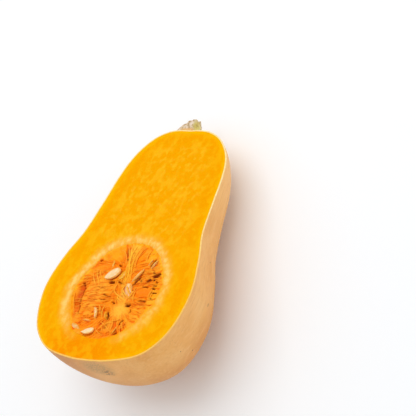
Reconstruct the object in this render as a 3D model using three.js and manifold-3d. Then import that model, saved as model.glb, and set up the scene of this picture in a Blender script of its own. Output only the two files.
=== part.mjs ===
// Half of a butternut squash, sliced lengthwise just beside its stem, lying on its skin with the
// cut face up. The pieces are the rind, the flesh with its seed cavity, the stringy pulp that fills
// the cavity, the seeds bedded in the pulp and the corky stem.
//
// Millimetres, +Z up. Inside the fruit group the cut face is the plane z = 0, Y runs from the
// blossom end to the stem and X across the face. The group is then tipped, stem end down, until it
// rests on the underside of its bulb and of its neck, as such a half does.
import * as THREE from 'three';
import { mergeVertices } from 'three/addons/utils/BufferGeometryUtils.js';
import Module from 'manifold-3d';

const wasm = await Module();
wasm.setup();

// Driving sizes.

// Outline of the whole fruit: distance from the blossom end, and radius there.
const bulbRadius = 66.8;
const fruitLength = 212;
const outline = [
  [0, 0], [1, 16], [7, 40], [16, 51.5], [30, 60.5], [60, bulbRadius], [90, 61.7], [112, 55],
  [140, 51.2], [165, 48.9], [180, 46], [193, 40.5], [205, 31], [211.5, 19.5], [213, 9],
  [fruitLength, 0],
];
const depthFactor = 1.07;       // the fruit is a little deeper than it is wide
const sway = { station: 62, halfWave: 140, x: -4.9, xSwing: -3.1, z: -1.9, zSwing: -6.7 };
const fluteCount = 5;           // faint flutes that run out of the stem
const fluteDepth = 0.8;
const rindThickness = 1.2;
const clearance = 0.3;          // between pieces that touch
const restFlatDepth = 1.2;      // how far the resting places are pressed flat

const cavity = { x: -7, y: 61, width: 79.5, length: 86, depth: 39.5 };
const stem = { x: -7.2, z: -6.5, height: 12.8, baseRadius: 10, lean: 0.1, ridges: 5 };
const seedSize = { length: 15, width: 8.4, thickness: 2.7 };

// Seeds as they lie in the cut: centre, heading of the pointed end (degrees from +X), then how far
// each is turned on edge about its long axis and how far its pointed end dips.
const seedPlaces = [
  { x: -17.6, y: 73.9, z: -1.0, heading: 207, roll: 12, dip: 6, scale: 1.05 },
  { x: -22.4, y: 81.4, z: -3.0, heading: 250, roll: 30, dip: 20, scale: 0.76 },
  { x: -7.0, y: 74.6, z: -1.6, heading: 80, roll: -14, dip: 8, scale: 0.66 },
  { x: 6.0, y: 73.6, z: -1.3, heading: 238, roll: 46, dip: 3, scale: 0.94 },
  { x: 3.4, y: 60.2, z: -1.1, heading: 285, roll: 14, dip: 6, scale: 0.84 },
  { x: 16.2, y: 82.4, z: -2.2, heading: 236, roll: 62, dip: 14, scale: 0.66 },
  { x: 12.0, y: 85.0, z: -2.6, heading: 238, roll: 60, dip: 20, scale: 0.56 },
  { x: -18.2, y: 40.9, z: -1.4, heading: 120, roll: -40, dip: 6, scale: 0.82 },
  { x: -22.8, y: 33.8, z: -1.9, heading: 176, roll: 72, dip: 5, scale: 0.62 },
  { x: -16.4, y: 25.6, z: -1.0, heading: 190, roll: 20, dip: 3, scale: 0.78 },
  { x: -27.6, y: 28.8, z: -2.3, heading: 338, roll: 46, dip: 8, scale: 0.62 },
  { x: -7.4, y: 39.8, z: -2.8, heading: 108, roll: 76, dip: 12, scale: 0.62 },
  { x: 4.6, y: 26.4, z: -2.4, heading: 242, roll: 56, dip: 12, scale: 0.6 },
];

// Thick strands of pulp that lie on top of the rest, as points on the cut face.
const strandRadius = 0.85;
const strandRoutes = [
  [[-9.5, 99], [-8, 86], [-7.2, 74], [-8.4, 62], [-6.5, 50]],
  [[-5.5, 100], [-5, 86], [-3.4, 73], [-4.6, 62], [-1, 51]],
  [[2.5, 97], [1, 86], [0.4, 76]],
  [[8, 94], [5.5, 87], [2.6, 80]],
  [[-22, 96], [-17, 91], [-12.5, 86]],
  [[-37, 76], [-33.5, 66], [-31.5, 56], [-32, 45], [-31, 38]],
  [[3, 50], [9, 47], [15, 46], [22, 47]],
  [[24, 76], [22, 68], [22.5, 58], [21, 50]],
  [[-24, 21.6], [-16, 19.8], [-7, 20.5], [1, 22.5]],
];

// Bridges between three.js geometry and solids
function solidOf(geometry) {
  const bare = geometry.clone();
  bare.deleteAttribute('normal');
  bare.deleteAttribute('uv');
  const merged = mergeVertices(bare, 1e-4);
  const mesh = new wasm.Mesh({
    numProp: 3,
    vertProperties: new Float32Array(merged.attributes.position.array),
    triVerts: new Uint32Array(merged.index.array),
  });
  return new wasm.Manifold(mesh);
}

function geometryOf(solid) {
  const mesh = solid.getMesh();
  const geometry = new THREE.BufferGeometry();
  geometry.setAttribute('position', new THREE.BufferAttribute(mesh.vertProperties, 3));
  geometry.setIndex(new THREE.BufferAttribute(mesh.triVerts, 1));
  geometry.computeVertexNormals();
  return geometry;
}

// Moves every corner of a geometry to where place(corner) puts it.
function reshape(geometry, place) {
  const corners = geometry.attributes.position;
  const corner = new THREE.Vector3();
  for (let i = 0; i < corners.count; i += 1) {
    corner.fromBufferAttribute(corners, i);
    place(corner);
    corners.setXYZ(i, corner.x, corner.y, corner.z);
  }
  return geometry;
}

// The fruit's form
const outlineSteps = 29;
const roundSteps = 40;

const outlineCurve = new THREE.CatmullRomCurve3(
  outline.map(([station, radius]) => new THREE.Vector3(radius, station, 0)), false, 'centripetal');
const outlinePoints = outlineCurve.getSpacedPoints(outlineSteps);

// The outline moved inward by a distance, square to itself.
function insetOutline(distance) {
  return outlinePoints.map((point, i) => {
    const before = outlinePoints[i - 1] ?? new THREE.Vector3(-outlinePoints[1].x, outlinePoints[1].y);
    const mirrored = outlinePoints[outlineSteps - 1];
    const after = outlinePoints[i + 1] ?? new THREE.Vector3(-mirrored.x, mirrored.y);
    const along = after.clone().sub(before).normalize();
    const atAxis = i === 0 || i === outlineSteps;
    const radius = atAxis ? 0 : Math.max(point.x - along.y * distance, 0);
    return new THREE.Vector2(radius, point.y + along.x * distance);
  });
}

function wave(y) {
  return Math.cos(Math.PI * (y - sway.station) / sway.halfWave);
}

function axisX(y) {
  return sway.x + sway.xSwing * wave(y);
}

function axisZ(y) {
  return sway.z + sway.zSwing * wave(y);
}

// Bends a round body about the Y axis to the fruit's own axis, and flutes it near the stem.
function bendToFruit(corner) {
  const angle = Math.atan2(corner.z, corner.x);
  const radius = Math.hypot(corner.x, corner.z);
  const nearStem = THREE.MathUtils.smoothstep(corner.y, 0.72 * fruitLength, 0.97 * fruitLength);
  const inward = fluteDepth * nearStem * (0.5 - 0.5 * Math.cos(fluteCount * angle));
  const fluted = Math.max(radius - inward * Math.min(1, radius / 12), 0);
  corner.x = axisX(corner.y) + fluted * Math.cos(angle);
  corner.z = axisZ(corner.y) + fluted * Math.sin(angle) * depthFactor;
}

function fruitBody(inset) {
  return solidOf(reshape(new THREE.LatheGeometry(insetOutline(inset), roundSteps), bendToFruit));
}

// Everything on the kept side of the knife cut.
function keptSide(solid) {
  const size = 3 * fruitLength;
  const block = new THREE.BoxGeometry(size, size, size).translate(0, fruitLength / 2, -size / 2);
  return solid.intersect(solidOf(block));
}

// How the half lies
function undersideHeight(y, radius, tilt) {
  return -y * Math.sin(tilt) + (axisZ(y) - depthFactor * radius) * Math.cos(tilt);
}

function lowestBetween(from, to, tilt) {
  const heights = outlineCurve.getPoints(400)
    .filter((point) => point.y >= from && point.y <= to)
    .map((point) => undersideHeight(point.y, point.x, tilt));
  return Math.min(...heights);
}

// Tipping the stem end down until the bulb and the neck hang equally low.
function findRestTilt() {
  const waist = 0.6 * fruitLength;
  let low = 0;
  let high = Math.PI / 4;
  for (let i = 0; i < 40; i += 1) {
    const tilt = (low + high) / 2;
    const bulbIsLower = lowestBetween(0, waist, tilt) < lowestBetween(waist, fruitLength, tilt);
    if (bulbIsLower) {
      low = tilt;
    } else {
      high = tilt;
    }
  }
  return low;
}

const restTilt = findRestTilt();
const floorHeight = lowestBetween(0, fruitLength, restTilt) + restFlatDepth;

// Trims away what reaches below the surface that the half lies on, raised by lift.
function aboveFloor(solid, lift = 0) {
  const size = 3 * fruitLength;
  const slab = new THREE.BoxGeometry(size, size, size)
    .translate(0, 0, floorHeight + lift - size / 2)
    .rotateX(restTilt);
  return solid.subtract(solidOf(slab));
}

// Rind and flesh
const wholeFruit = fruitBody(0);

function makeRind() {
  return aboveFloor(keptSide(wholeFruit.subtract(fruitBody(rindThickness))));
}

// The seed cavity: round in the cut face, a little pointed towards the neck.
function cavityBody(gap) {
  const ball = new THREE.SphereGeometry(1, 32, 14).rotateX(Math.PI / 2);
  return solidOf(reshape(ball, (corner) => {
    const pointed = 1 - 0.06 * corner.y;
    corner.x = cavity.x + (cavity.width / 2 - gap) * corner.x * pointed;
    corner.z = axisZ(cavity.y) + (cavity.depth - gap) * corner.z * pointed;
    corner.y = cavity.y + (cavity.length / 2 - gap) * corner.y;
  }));
}

function makeFlesh() {
  const body = keptSide(fruitBody(rindThickness + clearance)).subtract(cavityBody(0));
  return aboveFloor(body, rindThickness + clearance);
}

// Pulp
const pulpGap = clearance + 0.05;
const pocketGap = 0.72;           // the pockets are plainer than the seeds, so they are roomier

function bump(value, centre, spread) {
  return Math.exp(-(((value - centre) / spread) ** 2));
}

// Height of the pulp's surface against the cut: it is cut through with the flesh and has sunk a
// little, in ridges that run out from the middle like spokes. A raised band of strings runs along
// the fruit, and clefts open where the pulp has come away from the wall.
function pulpHeight(x, y) {
  const dx = (x - cavity.x) / (cavity.width / 2);
  const dy = (y - cavity.y) / (cavity.length / 2);
  const reach = Math.hypot(dx, dy);
  const angle = Math.atan2(dy, dx);
  const spokes = 0.5 * Math.sin(17 * angle + 1.6 * Math.sin(3 * angle));
  const ridges = spokes * THREE.MathUtils.smoothstep(reach, 0.2, 0.6);
  const band = 0.8 * bump(x, -4.5 + 0.04 * (y - 60), 5) * THREE.MathUtils.smoothstep(y, 42, 62);
  const mound = 0.7 * bump(x, 3, 8) * bump(y, 42, 10);
  const leftCleft = 2.6 * bump(reach, 0.86, 0.08) * bump(Math.abs(angle), Math.PI, 0.7);
  const rightCleft = 2.2 * bump(reach, 0.84, 0.09) * bump(angle, 0.2, 0.5);
  return Math.min(-1.7 + ridges + band + mound - leftCleft - rightCleft, -0.5);
}

// Lifts the flat top of the cavity's filling into the torn surface.
function pulpBed() {
  const rings = 9;
  const spokes = 60;
  const disc = [];
  for (let i = 0; i <= rings; i += 1) {
    disc.push(new THREE.Vector2(i / rings, 0));
  }
  const wall = [[1, -5], [1, -50], [0, -50]].map(([x, y]) => new THREE.Vector2(x, y));
  const plug = new THREE.LatheGeometry([...wall.reverse(), ...disc.reverse()], spokes);
  plug.rotateX(Math.PI / 2);
  const shaped = reshape(plug, (corner) => {
    const onTop = corner.z > -1;
    corner.x = cavity.x + corner.x * 0.5 * (cavity.width + 12);
    corner.y = cavity.y + corner.y * 0.5 * (cavity.length + 12);
    corner.z = onTop ? pulpHeight(corner.x, corner.y) : corner.z;
  });
  return solidOf(shaped).intersect(cavityBody(pulpGap));
}

function strand(route) {
  const path = new THREE.CatmullRomCurve3(
    route.map(([x, y]) => new THREE.Vector3(x, y, pulpHeight(x, y) + 0.25 * strandRadius)));
  const section = new THREE.Shape();
  const sides = 5;
  for (let i = 0; i < sides; i += 1) {
    const angle = 2 * Math.PI * i / sides;
    const corner = [strandRadius * Math.cos(angle), strandRadius * Math.sin(angle)];
    if (i === 0) {
      section.moveTo(...corner);
    } else {
      section.lineTo(...corner);
    }
  }
  return solidOf(new THREE.ExtrudeGeometry(section, { steps: 6, extrudePath: path }));
}

// Seeds
// A flat drop: round at one end, pointed at the other (+X), fattest in the middle.
function seedGeometry(scale, gap = 0) {
  const ball = new THREE.SphereGeometry(1, gap > 0 ? 8 : 10, gap > 0 ? 6 : 7).rotateZ(Math.PI / 2);
  return reshape(ball, (corner) => {
    const taper = 1 - 0.42 * corner.x - 0.12 * corner.x ** 2;
    corner.x *= scale * seedSize.length / 2 + gap;
    corner.y *= (scale * seedSize.width / 2) * taper + gap;
    corner.z *= (scale * seedSize.thickness / 2) * (1 - 0.25 * corner.x / seedSize.length) + gap;
  });
}

function seedTurn(place) {
  const degree = Math.PI / 180;
  return new THREE.Euler(
    place.roll * degree, place.dip * degree, place.heading * degree, 'ZYX');
}

function placed(geometry, place) {
  const turn = new THREE.Matrix4().makeRotationFromEuler(seedTurn(place));
  turn.setPosition(place.x, place.y, place.z);
  return geometry.applyMatrix4(turn);
}

function makePulp() {
  let pulp = pulpBed();
  for (const route of strandRoutes) {
    pulp = pulp.add(strand(route));
  }
  pulp = pulp.intersect(cavityBody(pulpGap));
  for (const place of seedPlaces) {
    pulp = pulp.subtract(solidOf(placed(seedGeometry(place.scale, pocketGap), place)));
  }
  const bodies = pulp.decompose().sort((a, b) => b.volume() - a.volume());
  return bodies[0];
}

// Stem
// A short corky stub with five ridges. It flares where it grows out of the neck and leans a little.
function makeStem() {
  const foot = fruitLength - 6;
  const top = fruitLength + stem.height;
  const profile = [
    [0, foot], [stem.baseRadius, foot], [stem.baseRadius, fruitLength + 0.5],
    [0.84 * stem.baseRadius, fruitLength + 4.5], [0.7 * stem.baseRadius, fruitLength + 8],
    [0.63 * stem.baseRadius, top - 2], [0.5 * stem.baseRadius, top - 0.4], [0, top],
  ].map(([radius, y]) => new THREE.Vector2(radius, y));
  const stub = reshape(new THREE.LatheGeometry(profile, 30), (corner) => {
    const angle = Math.atan2(corner.z, corner.x);
    const ridge = 1 + 0.1 * Math.cos(stem.ridges * angle + 0.6);
    const rough = 1 + 0.03 * Math.sin(9 * angle + corner.y);
    const leaned = stem.lean * Math.max(corner.y - fruitLength, 0);
    corner.x = stem.x + leaned + corner.x * ridge * rough;
    corner.z = stem.z + corner.z * ridge * rough;
  });
  return keptSide(solidOf(stub)).subtract(fruitBody(-clearance));
}

// Materials and the finished group
function finish(color, roughness) {
  return new THREE.MeshStandardMaterial({ color, roughness, metalness: 0 });
}

const finishes = {
  rind: finish(0xe3ac72, 0.42),
  flesh: finish(0xffab12, 0.5),
  pulp: finish(0xf58220, 0.38),
  seed: finish(0xf6e6c4, 0.35),
  stem: finish(0xb9a77f, 0.85),
};

function addPiece(parent, name, geometry, material) {
  const mesh = new THREE.Mesh(geometry, material);
  mesh.name = name;
  parent.add(mesh);
  return mesh;
}

const fruit = new THREE.Group();
addPiece(fruit, 'rind', geometryOf(makeRind()), finishes.rind);
addPiece(fruit, 'flesh', geometryOf(makeFlesh()), finishes.flesh);
addPiece(fruit, 'seed_pulp', geometryOf(makePulp()), finishes.pulp);
addPiece(fruit, 'stem', geometryOf(makeStem()), finishes.stem);
seedPlaces.forEach((place, i) => {
  const name = `seed_${String(i + 1).padStart(2, '0')}`;
  const seed = addPiece(fruit, name, seedGeometry(place.scale), finishes.seed);
  seed.position.set(place.x, place.y, place.z);
  seed.rotation.copy(seedTurn(place));
});

// Tip the fruit to rest, then stand the middle of its footprint on the origin.
fruit.rotation.x = -restTilt;
const half = new THREE.Group();
half.add(fruit);
half.updateMatrixWorld(true);
const bounds = new THREE.Box3().setFromObject(half, true);
const middle = bounds.getCenter(new THREE.Vector3());
fruit.position.set(-middle.x, -middle.y, -bounds.min.z);

export default half;
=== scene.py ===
# %% [markdown]
# Half a butternut squash
#
# The squash is cut lengthwise and lies on its skin with the cut face up. What shows is a thin rind,
# firm orange flesh, a round cavity full of wet strings and seeds, and a corky stub of stem. The
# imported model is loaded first, because every new piece has to keep its place and its size.

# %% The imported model
import math

import bmesh
import bpy
import numpy as np
from mathutils import Matrix, Vector


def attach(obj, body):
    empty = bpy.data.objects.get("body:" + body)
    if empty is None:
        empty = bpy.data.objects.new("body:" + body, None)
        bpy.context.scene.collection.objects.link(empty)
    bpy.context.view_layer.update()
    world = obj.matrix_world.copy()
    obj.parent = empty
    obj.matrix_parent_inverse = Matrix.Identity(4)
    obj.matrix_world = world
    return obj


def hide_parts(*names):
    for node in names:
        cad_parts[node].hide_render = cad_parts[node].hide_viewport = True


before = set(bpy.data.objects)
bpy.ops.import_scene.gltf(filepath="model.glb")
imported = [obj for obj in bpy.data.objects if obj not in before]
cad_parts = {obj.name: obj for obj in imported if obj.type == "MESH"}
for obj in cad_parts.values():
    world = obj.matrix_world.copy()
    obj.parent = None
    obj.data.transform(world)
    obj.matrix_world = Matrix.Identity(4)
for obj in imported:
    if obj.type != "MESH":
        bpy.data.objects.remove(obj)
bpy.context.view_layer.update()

# %% [markdown]
# Where the fruit lies
#
# It is easiest to model the fruit in its own terms: X across the cut face, Y from the blossom end
# to the stem, Z out of the cut face, in millimetres. The half rests on the underside of its bulb
# and its neck, so these axes are tipped, stem end down. One matrix carries a finished piece from
# the fruit's own axes to its place on the table.

# %% The fruit's own axes
MM = 0.001
REST_TILT = math.radians(17.356)
BLOSSOM_END = Vector((7.973, -103.178, 95.837)) * MM
TO_TABLE = Matrix.Translation(BLOSSOM_END) @ Matrix.Rotation(-REST_TILT, 4, "X")
print("the cut face slopes down by", round(math.degrees(REST_TILT), 1), "degrees")

# %% [markdown]
# The camera
#
# The camera stands where the photograph was taken from, as seen from the fruit: in front of the cut
# face, a little below it and to its right, with a long lens. Its place and its turn are given in
# the fruit's own axes and carried to the table with the same matrix as everything else.

# %% Camera
CAMERA_PLACE = Vector((509.8, -308.7, 598.6)) * MM
CAMERA_RIGHT = Vector((0.8482, 0.3207, -0.4216))
CAMERA_UP = Vector((-0.0053, 0.8010, 0.5986))
CAMERA_SENSOR = 36.0
CAMERA_LENS = 102.08


def camera_turn():
    """The camera's place and turn on the table, from its right and up directions."""
    right = (TO_TABLE.to_3x3() @ CAMERA_RIGHT).normalized()
    back = right.cross(TO_TABLE.to_3x3() @ CAMERA_UP).normalized()
    up = back.cross(right)
    turn = Matrix((right, up, back)).transposed().to_4x4()
    return Matrix.Translation(TO_TABLE @ CAMERA_PLACE) @ turn


bpy.ops.object.camera_add()
camera = bpy.context.object
camera.name = "camera"
camera.data.sensor_width = CAMERA_SENSOR
camera.data.lens = CAMERA_LENS
camera.matrix_world = camera_turn()
bpy.context.scene.camera = camera
print("camera at", [round(v, 3) for v in camera.matrix_world.translation])

# %% [markdown]
# Floor and light
#
# A plain pale floor and soft studio light. The sky is white all round but brighter on the picture's
# upper left, so the underside of the fruit falls darker, and two large soft lamps give it its form:
# the main one from the upper left and a weaker one from the right, for the skin. Lamps and sky are
# placed by the camera's directions. The floor is very slightly cool, which balances the orange
# light that the fruit throws on it.

# %% Floor and lamps
FRUIT_MIDDLE = Vector((0.0, 0.0, 0.05))
FLOOR_SIZE = 6.0
FLOOR_COLOUR = (0.94, 0.96, 0.98, 1.0)
SKY_BRIGHT_SIDE = Vector((-0.5, 0.75, 0.45))
SKY_DARKEST = 0.44
SKY_BRIGHTEST = 0.82


def aim_lamp(name, right, up, back, size, power):
    """A square lamp that looks at the fruit from a place given along the camera's directions."""
    turn = camera.matrix_world.to_3x3()
    place = FRUIT_MIDDLE + turn @ Vector((right, up, back))
    bpy.ops.object.light_add(type="AREA", location=place)
    lamp = bpy.context.object
    lamp.name = name
    lamp.data.shape = "SQUARE"
    lamp.data.size = size
    lamp.data.energy = power
    lamp.rotation_euler = (place - FRUIT_MIDDLE).to_track_quat("Z", "Y").to_euler()
    return lamp


bpy.ops.mesh.primitive_plane_add(size=FLOOR_SIZE)
floor = bpy.context.object
floor.name = "floor"
floor_finish = bpy.data.materials.new("pale_floor")
floor_finish.use_nodes = True
floor_shader = floor_finish.node_tree.nodes["Principled BSDF"]
floor_shader.inputs["Base Color"].default_value = FLOOR_COLOUR
floor_shader.inputs["Roughness"].default_value = 0.9
floor_shader.inputs["Specular IOR Level"].default_value = 0.1
floor.data.materials.append(floor_finish)

sky = bpy.data.worlds.new("studio")
sky.use_nodes = True
glow = sky.node_tree.nodes["Background"]
glow.inputs["Color"].default_value = (1.0, 1.0, 1.0, 1.0)
look = sky.node_tree.nodes.new("ShaderNodeTexCoord")
facing = sky.node_tree.nodes.new("ShaderNodeVectorMath")
facing.operation = "DOT_PRODUCT"
facing.inputs[1].default_value = camera.matrix_world.to_3x3() @ SKY_BRIGHT_SIDE.normalized()
level = sky.node_tree.nodes.new("ShaderNodeMapRange")
level.inputs["From Min"].default_value = -1.0
level.inputs["To Min"].default_value = SKY_DARKEST
level.inputs["To Max"].default_value = SKY_BRIGHTEST
sky.node_tree.links.new(look.outputs["Generated"], facing.inputs[0])
sky.node_tree.links.new(facing.outputs["Value"], level.inputs["Value"])
sky.node_tree.links.new(level.outputs["Result"], glow.inputs["Strength"])
bpy.context.scene.world = sky
bpy.context.scene.view_settings.view_transform = "Standard"
aim_lamp("main_lamp", -0.8, 1.1, 1.1, 1.6, 13.4)
aim_lamp("skin_lamp", 1.6, 0.1, 0.5, 1.2, 6.6)
print("floor, sky and two lamps")

# %% [markdown]
# Helpers for shaping
#
# An operator acts on whatever is selected, so each step starts from a clean selection. The fruit is
# drawn with operators first and then bent, corner by corner, with formulas, as a sculptor would
# push a turned blank into its crooked natural form.

# %% Helpers for shaping
GRAIN_SIZE = 64


def start_clean():
    """Leaves edit mode and selects nothing."""
    if bpy.context.object and bpy.context.object.mode != "OBJECT":
        bpy.ops.object.mode_set(mode="OBJECT")
    bpy.ops.object.select_all(action="DESELECT")


def pick(piece):
    """Makes one piece the selected and active one."""
    start_clean()
    piece.select_set(True)
    bpy.context.view_layer.objects.active = piece


def corners(piece):
    """All corners of a piece in millimetres, one row each."""
    flat = np.empty(3 * len(piece.data.vertices))
    piece.data.vertices.foreach_get("co", flat)
    return flat.reshape(-1, 3) / MM


def set_corners(piece, places):
    piece.data.vertices.foreach_set("co", (places * MM).ravel())
    piece.data.update()


def grain(x, y, seed):
    """Smooth random heights from -1 to 1 over a plane, one bump for each unit of x and y."""
    heights = np.random.RandomState(seed).uniform(-1.0, 1.0, (GRAIN_SIZE, GRAIN_SIZE))
    column = np.floor(x).astype(int)
    row = np.floor(y).astype(int)
    across = x - column
    along = y - row
    across = across * across * (3.0 - 2.0 * across)
    along = along * along * (3.0 - 2.0 * along)
    left, right = column % GRAIN_SIZE, (column + 1) % GRAIN_SIZE
    low, high = row % GRAIN_SIZE, (row + 1) % GRAIN_SIZE
    near = heights[left, low] * (1.0 - across) + heights[right, low] * across
    far = heights[left, high] * (1.0 - across) + heights[right, high] * across
    return near * (1.0 - along) + far * along


def hump(value, centre, spread):
    return np.exp(-(((value - centre) / spread) ** 2))


def smooth(value, low, high):
    """Rises smoothly from 0 at low to 1 at high."""
    part = np.clip((value - low) / (high - low), 0.0, 1.0)
    return part * part * (3.0 - 2.0 * part)


def paint(piece, name, values):
    """Keeps one number for each corner, for the materials to read."""
    layer = piece.data.attributes.new(name, "FLOAT", "POINT")
    layer.data.foreach_set("value", values.astype(np.float32))


def shade(piece, angle=math.radians(50.0)):
    pick(piece)
    bpy.ops.object.shade_smooth_by_angle(angle=angle)


def lay_on_table(piece):
    """Carries a finished piece from the fruit's axes to its place, and presses it on the table."""
    pick(piece)
    piece.matrix_world = TO_TABLE
    bpy.ops.object.transform_apply(location=True, rotation=True, scale=True)
    places = corners(piece)
    places[:, 2] = np.maximum(places[:, 2], 0.0)
    set_corners(piece, places)


def hand_over(piece, finish, slot, *nodes):
    """Gives a piece its finish, hangs it under the root and hides the imported parts it stands for."""
    piece.data.materials.clear()
    piece.data.materials.append(finish)
    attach(piece, "root")
    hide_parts(*nodes)
    print(piece.name, "has", len(piece.data.polygons), "faces")


# %% [markdown]
# The form of the fruit
#
# A butternut is a turned form with a crooked axis: a bulb, a waist, a thick neck and a blunt stem
# end. Its outline is a smooth curve through a few measured points. The blank is round and straight,
# and a formula then bends it to the fruit's axis, makes it a little deeper than wide, cuts faint
# flutes near the stem and adds the shallow lumps that no grown thing is without. One side is also
# a little fuller than the other, and the stem end is not quite square to the axis.

# %% The outline
# Distance from the blossom end and radius, in millimetres.
OUTLINE = [
    (0, 0), (1, 16), (7, 40), (16, 51.5), (30, 60.5), (60, 66.8), (90, 61.7), (112, 55),
    (140, 51.2), (165, 48.9), (180, 46), (193, 40.5), (205, 31), (211.5, 19.5), (213, 9), (212, 0),
]
FRUIT_LENGTH = 212.0
DEPTH_FACTOR = 1.07
AXIS_X, SWING_X = -4.9, 3.1
AXIS_Z, SWING_Z = -1.9, 6.7
SWING_FROM, SWING_LENGTH = 62.0, 140.0
FLUTE_COUNT = 5
FLUTE_DEPTH = 0.8
LUMP_HEIGHT = 0.28
LOPSIDED = 0.045
FULL_SIDE = math.radians(-38.0)
FULL_SPREAD = math.radians(32.0)
FULL_ALL_ALONG = 1.5
FULL_AT_BULB = 1.4


def curve_through(points, steps):
    """A centripetal Catmull-Rom curve through points, with steps parts between two of them."""
    points = np.array(points, float)
    ends = np.vstack([2 * points[0] - points[1], points, 2 * points[-1] - points[-2]])
    made = []
    for a, b, c, d in zip(ends[:-3], ends[1:-2], ends[2:-1], ends[3:]):
        ta = 0.0
        tb = ta + np.linalg.norm(b - a) ** 0.5
        tc = tb + np.linalg.norm(c - b) ** 0.5
        td = tc + np.linalg.norm(d - c) ** 0.5
        t = np.linspace(tb, tc, steps, endpoint=False)[:, None]
        ab = (tb - t) / (tb - ta) * a + (t - ta) / (tb - ta) * b
        bc = (tc - t) / (tc - tb) * b + (t - tb) / (tc - tb) * c
        cd = (td - t) / (td - tc) * c + (t - tc) / (td - tc) * d
        abc = (tc - t) / (tc - ta) * ab + (t - ta) / (tc - ta) * bc
        bcd = (td - t) / (td - tb) * bc + (t - tb) / (td - tb) * cd
        made.append((tc - t) / (tc - tb) * abc + (t - tb) / (tc - tb) * bcd)
    made.append(points[-1:])
    return np.vstack(made)


def outline_points(inset, count):
    """Evenly spaced points (radius, station) of the outline, moved inward by inset."""
    fine = curve_through(OUTLINE, 60)
    walked = np.concatenate([[0.0], np.cumsum(np.linalg.norm(np.diff(fine, axis=0), axis=1))])
    stops = np.linspace(0.0, walked[-1], count)
    station = np.interp(stops, walked, fine[:, 0])
    radius = np.interp(stops, walked, fine[:, 1])
    along = np.stack([np.gradient(radius), np.gradient(station)], 1)
    along[0] = along[-1] = (1.0, 0.0)
    along /= np.linalg.norm(along, axis=1)[:, None]
    moved_radius = np.maximum(radius - inset * along[:, 1], 0.0)
    moved_station = station + inset * along[:, 0]
    moved_radius[0] = moved_radius[-1] = 0.0
    moved_station[-1] = station[-1] - inset
    return np.stack([moved_radius, moved_station], 1)


def swing(station):
    """The crook of the axis: -1 in the middle of the bulb, 1 near the stem."""
    return -np.cos(np.pi * (station - SWING_FROM) / SWING_LENGTH)


def axis_x(station):
    return AXIS_X + SWING_X * swing(station)


def axis_z(station):
    return AXIS_Z + SWING_Z * swing(station)


def bend_to_fruit(places):
    """Pushes a straight turned form into the crooked, slightly lumpy form of the fruit."""
    x, station, z = places.T
    angle = np.arctan2(z, x)
    radius = np.hypot(x, z)
    near_stem = smooth(station, 0.72 * FRUIT_LENGTH, 0.97 * FRUIT_LENGTH)
    flute = FLUTE_DEPTH * near_stem * (0.5 - 0.5 * np.cos(FLUTE_COUNT * angle))
    lumps = LUMP_HEIGHT * grain(3.0 + 2.2 * np.cos(angle), station / 23.0 + 2.2 * np.sin(angle), 3)
    fuller = FULL_ALL_ALONG + FULL_AT_BULB * hump(station, 22.0, 24.0)
    lumps += fuller * hump(angle, FULL_SIDE, FULL_SPREAD)
    lumps = lumps * np.minimum(1.0, radius / 30.0)
    bent = np.maximum(radius - flute * np.minimum(1.0, radius / 12.0) + lumps, 0.0)
    return np.stack([
        axis_x(station) + bent * np.cos(angle),
        station - LOPSIDED * near_stem * x,
        axis_z(station) + bent * np.sin(angle) * DEPTH_FACTOR,
    ], 1)


print("outline of", len(OUTLINE), "points, fruit length", FRUIT_LENGTH, "mm")

# %% [markdown]
# Turning the blank
#
# As on a lathe: one corner is extruded from point to point along the outline, the chain of edges is
# spun round the Y axis, and the doubled seam is merged. The knife cut is a bisect that throws away
# all that lies above it. A sphere would give the wrong spread of faces, and a revolved curve has no
# real corners to bend.

# %% Turning and cutting
TURN_STEPS = 160


def turned_body(name, inset, stations):
    """Draws the outline by extruding one corner, spins it and bends it to the fruit."""
    points = outline_points(inset, stations)
    chain = [Vector((radius, station, 0.0)) * MM for radius, station in points]
    start_clean()
    bpy.ops.mesh.primitive_plane_add(size=MM)
    body = bpy.context.object
    body.name = name
    bpy.ops.object.mode_set(mode="EDIT")
    bpy.ops.mesh.merge(type="CENTER")
    bpy.ops.transform.translate(value=chain[0])
    for here, there in zip(chain[:-1], chain[1:]):
        bpy.ops.mesh.extrude_region_move(TRANSFORM_OT_translate={"value": there - here})
    bpy.ops.mesh.select_all(action="SELECT")
    bpy.ops.mesh.spin(steps=TURN_STEPS, angle=2.0 * math.pi, center=(0, 0, 0), axis=(0, 1, 0))
    bpy.ops.mesh.select_all(action="SELECT")
    bpy.ops.mesh.remove_doubles(threshold=0.01 * MM)
    bpy.ops.mesh.normals_make_consistent(inside=False)
    bpy.ops.object.mode_set(mode="OBJECT")
    set_corners(body, bend_to_fruit(corners(body)))
    return body


def knife_cut(body):
    """Throws away all that lies above the cut plane and leaves the body open there."""
    pick(body)
    bpy.ops.object.mode_set(mode="EDIT")
    bpy.ops.mesh.select_all(action="SELECT")
    bpy.ops.mesh.bisect(plane_co=(0, 0, 0), plane_no=(0, 0, 1), clear_outer=True)
    bpy.ops.object.mode_set(mode="OBJECT")


# %% [markdown]
# The rind
#
# The rind is the thin skin, about a millimetre thick. It is the outer turned body, cut, and then
# given its thickness inward with Solidify, so its edge stands free round the cut face as the thin
# pale line that every cut squash shows. A small bevel catches the light on that edge.

# %% Rind
RIND_THICKNESS = 1.1
RIND_EDGE = 0.2

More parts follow.
